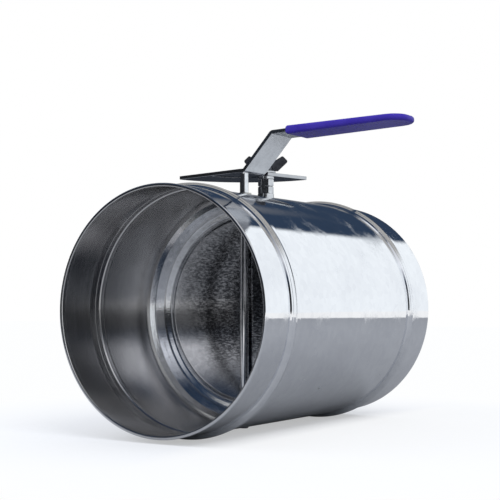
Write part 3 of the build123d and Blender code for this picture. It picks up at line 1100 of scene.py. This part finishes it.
@dataclass
class Studio:
    """Pale floor, soft light and the camera, in metres.

    What the metal mirrors changes over spans: bearings in degrees from X towards Y, and rises, the sine
    of the angle above level.
    """

    camera_place: tuple = (0.43366, -0.57496, 0.00699)
    camera_aim: tuple = (-0.5352, 0.8436, 0.0430)
    lens: float = 82.93
    clip: tuple = (0.01, 50.0)
    lamp_aim: tuple = (0.0, 0.1, 0.0)
    floor_size: float = 6.0
    floor_light: tuple = rgb(0.89, 0.92, 0.985)
    floor_mirror: tuple = rgb(0.36, 0.37, 0.39)
    # Near the casing the camera sees this share of the floor shaded, the rest as a painted glow that lifts the
    # shadow; on the right side the glow is stronger
    shade_share: float = 0.55
    right_glow_share: float = 0.80
    right_glow_fade: tuple = (-0.02, 0.05)
    fade: tuple = (0.13, 0.30)
    plain_white: tuple = rgb(0.988, 0.995, 1.0)
    side_white: tuple = rgb(0.955, 0.998, 1.035)
    ceiling: tuple = rgb(0.030, 0.050, 0.090)
    overhead: tuple = rgb(0.42, 0.41, 0.39)
    back_wall: tuple = rgb(0.24, 0.25, 0.27)
    front_wall: tuple = rgb(0.026, 0.028, 0.032)
    side_wall: tuple = rgb(0.190, 0.193, 0.200)
    front_light: tuple = rgb(0.90, 0.92, 0.98)
    far_floor: tuple = rgb(0.035, 0.040, 0.050)
    dark_from: tuple = (1.05, 1.40)
    white_from: tuple = (1.02, 1.12)
    right_from: tuple = (0.0, 0.12)
    ambient: tuple = rgb(0.80, 0.82, 0.86)
    left_side: tuple = (86.5, 89.0)
    right_side: tuple = (-41.0, -38.5)
    shadow_until: tuple = (110.0, 117.0)
    shadow_from: tuple = (128.0, 136.0)
    behind_from: tuple = (100.0, 112.0)
    side_wall_from: tuple = (-62.0, -56.0)
    front_light_from: tuple = (-84.0, -66.0)
    ceiling_rise: tuple = (0.16, 0.26)
    front_light_rise: tuple = (0.24, 0.36)
    behind_rise: tuple = (0.44, 0.52)
    side_rise: tuple = (0.58, 0.74)

    def camera(self) -> None:
        """Places the camera."""
        data = bpy.data.cameras.new("camera")
        data.lens = self.lens
        data.clip_start, data.clip_end = self.clip
        camera = bpy.data.objects.new("camera", data)
        camera.location = self.camera_place
        camera.rotation_euler = Vector(self.camera_aim).to_track_quat("-Z", "Y").to_euler()
        link(camera)
        bpy.context.scene.camera = camera

    def floor(self) -> None:
        """Lays the floor under the lowest point of the casing; it fades to plain white away from it, and near the
        casing and on its right it partly glows as painted light that lifts its shadow.
        """
        low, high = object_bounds()
        half = self.floor_size / 2
        corners = [(x * half, y * half, low[2]) for x, y in ((-1, -1), (1, -1), (1, 1), (-1, 1))]
        floor = mesh_piece("floor", corners, [(0, 1, 2, 3)])
        link(floor)
        material = bpy.data.materials.new("floor")
        tree = empty_tree(material)
        path = tree.add("ShaderNodeLightPath").outputs
        place = tree.add("ShaderNodeTexCoord").outputs["Object"]
        away = tree.distance(place, (0.0, (low[1] + high[1]) / 2, low[2]))
        across = tree.add("ShaderNodeSeparateXYZ", {0: place}).outputs["X"]
        right = tree.ramp(across, *self.right_from)
        far_left = tree.times(tree.ramp(away, *self.dark_from), tree.math("SUBTRACT", 1.0, right))
        mirrored = tree.mix(far_left, self.floor_mirror, self.far_floor)
        colour = tree.mix(path["Is Camera Ray"], mirrored, self.floor_light)
        matte = tree.add("ShaderNodeBsdfDiffuse", {"Color": colour}).outputs[0]
        white = tree.add("ShaderNodeEmission", {"Color": self.plain_white}).outputs[0]
        # Painted light: near the casing and on its right, the camera sees part of the floor as a white glow that
        # lifts its real shadow
        share = tree.ramp(away, *self.fade, 1.0 - self.shade_share, 1.0)
        share = tree.math("MAXIMUM", share, tree.ramp(across, *self.right_glow_fade, 0.0, self.right_glow_share))
        bright = tree.times(tree.times(tree.ramp(away, *self.white_from), right), path["Is Glossy Ray"])
        bright = tree.math("ADD", tree.times(share, path["Is Camera Ray"]), bright)
        mixed = tree.add("ShaderNodeMixShader", {0: bright, 1: matte, 2: white})
        tree.add("ShaderNodeOutputMaterial", {"Surface": mixed.outputs[0]})
        floor.data.materials.append(material)
        floor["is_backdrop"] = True

    def world(self) -> None:
        """Builds the surroundings that the metal mirrors: white sides, dark walls and a light in front."""
        world = bpy.data.worlds.new("studio")
        world.cycles.sampling_method = "NONE"
        tree = empty_tree(world)
        direction = tree.add("ShaderNodeTexCoord").outputs["Generated"]
        split = tree.add("ShaderNodeSeparateXYZ", {0: direction}).outputs
        bearing = tree.times(tree.math("ARCTAN2", split["Y"], split["X"]), 180 / math.pi)
        rise = split["Z"]
        left = tree.ramp(bearing, *self.left_side)
        right = tree.ramp(bearing, *self.right_side, 1.0, 0.0)
        shadow = tree.math("MAXIMUM", right, tree.ramp(bearing, *self.shadow_from))
        shadow = tree.math("MAXIMUM", shadow, tree.ramp(bearing, *self.shadow_until, 1.0, 0.0))
        walls = tree.mix(shadow, self.back_wall, self.front_wall)
        walls = tree.mix(tree.times(right, tree.ramp(bearing, *self.side_wall_from)), walls, self.side_wall)
        front = tree.times(right, tree.ramp(bearing, *self.front_light_from))
        front = tree.times(front, tree.ramp(rise, *self.front_light_rise))
        above = tree.mix(front, self.ceiling, self.front_light)
        behind = tree.times(tree.ramp(bearing, *self.behind_from), tree.ramp(rise, *self.behind_rise))
        above = tree.mix(behind, above, self.overhead)
        dark = tree.mix(tree.ramp(rise, *self.ceiling_rise), walls, above)
        side = tree.mix(tree.ramp(rise, *self.side_rise), self.side_white, self.overhead)
        mirrored = tree.mix(tree.math("MAXIMUM", left, right), side, dark)
        path = tree.add("ShaderNodeLightPath").outputs
        shown = tree.mix(path["Is Glossy Ray"], self.ambient, mirrored)
        shown = tree.mix(path["Is Camera Ray"], shown, rgb(1.0, 1.0, 1.0))
        background = tree.add("ShaderNodeBackground", {"Color": shown})
        tree.add("ShaderNodeOutputWorld", {"Surface": background.outputs[0]})
        bpy.context.scene.world = world

    def lamp(self, name: str, place: Sequence[float], size: float, power: float) -> None:
        """Hangs one soft lamp that faces the damper.

        Args:
            name: Name of the lamp.
            place: Its place in metres.
            size: Width of its square face in metres.
            power: Its power in watts.
        """
        data = bpy.data.lights.new(name, "AREA")
        data.size = size
        data.energy = power
        lamp = bpy.data.objects.new(name, data)
        lamp.location = place
        aim = Vector(self.lamp_aim) - Vector(place)
        lamp.rotation_euler = aim.to_track_quat("-Z", "Y").to_euler()
        lamp.visible_glossy = False
        link(lamp)

    def build(self) -> None:
        """Sets up the whole studio."""
        bpy.context.scene.view_settings.view_transform = "Standard"
        self.camera()
        self.floor()
        self.world()
        self.lamp("key_lamp", place=(1.1, -0.5, 1.2), size=1.0, power=9.0)
        self.lamp("fill_lamp", place=(-1.0, -0.6, 0.9), size=1.2, power=5.0)


def main() -> None:
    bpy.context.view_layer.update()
    for section in (Casing(), Blade(), Handle(), Clamp(), Studio()):
        section.build()


if __name__ == "__main__":
    main()
